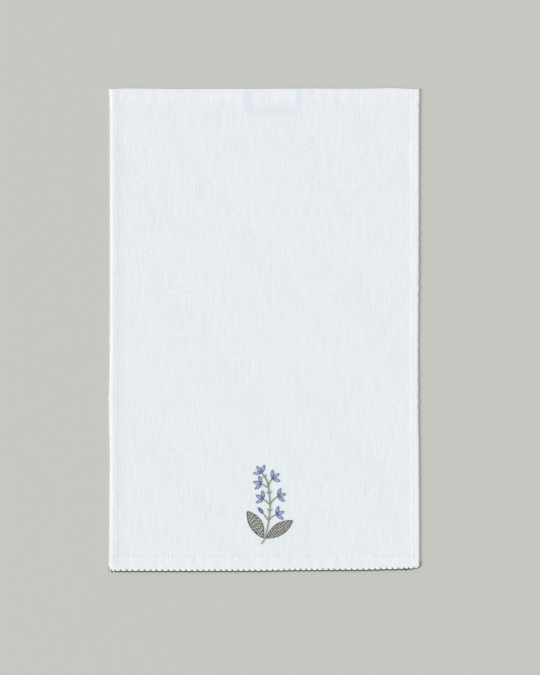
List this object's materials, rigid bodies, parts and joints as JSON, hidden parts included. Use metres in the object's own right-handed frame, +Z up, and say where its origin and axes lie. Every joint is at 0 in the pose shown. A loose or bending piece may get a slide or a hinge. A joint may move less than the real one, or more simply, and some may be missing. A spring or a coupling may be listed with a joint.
{
  "type": "tea towel",
  "caption": "Flat rectangular cotton tea towel with turned hems, a scalloped stitched lower edge, a tape hanging loop behind the top hem and an embroidered flower sprig.",
  "frame": {"origin": "on the surface that the towel lies on, under the middle of the towel", "axes": "+X across the towel, +Y along it towards the top hem, +Z up out of the embroidered face"},
  "size_m": [0.4548, 0.7047, 0.0037],
  "materials": {
    "white_cotton": "plain woven cotton, matt",
    "grey_green_thread": "plied cotton thread",
    "pale_blue_tape": "woven cotton tape",
    "sage_thread": "stranded embroidery cotton",
    "taupe_thread": "stranded embroidery cotton",
    "blue_thread": "stranded embroidery cotton"
  },
  "bodies": {
    "root": {"cloth": "white_cotton", "edging": "grey_green_thread", "hanging_loop": "pale_blue_tape", "stem": "sage_thread", "leaf_left": "taupe_thread", "leaf_right": "taupe_thread", "bud": "blue_thread", "flower_1": "blue_thread", "flower_2": "blue_thread", "flower_3": "blue_thread", "flower_4": "blue_thread", "flower_5": "blue_thread", "flower_6": "blue_thread"}
  },
  "joints": []
}
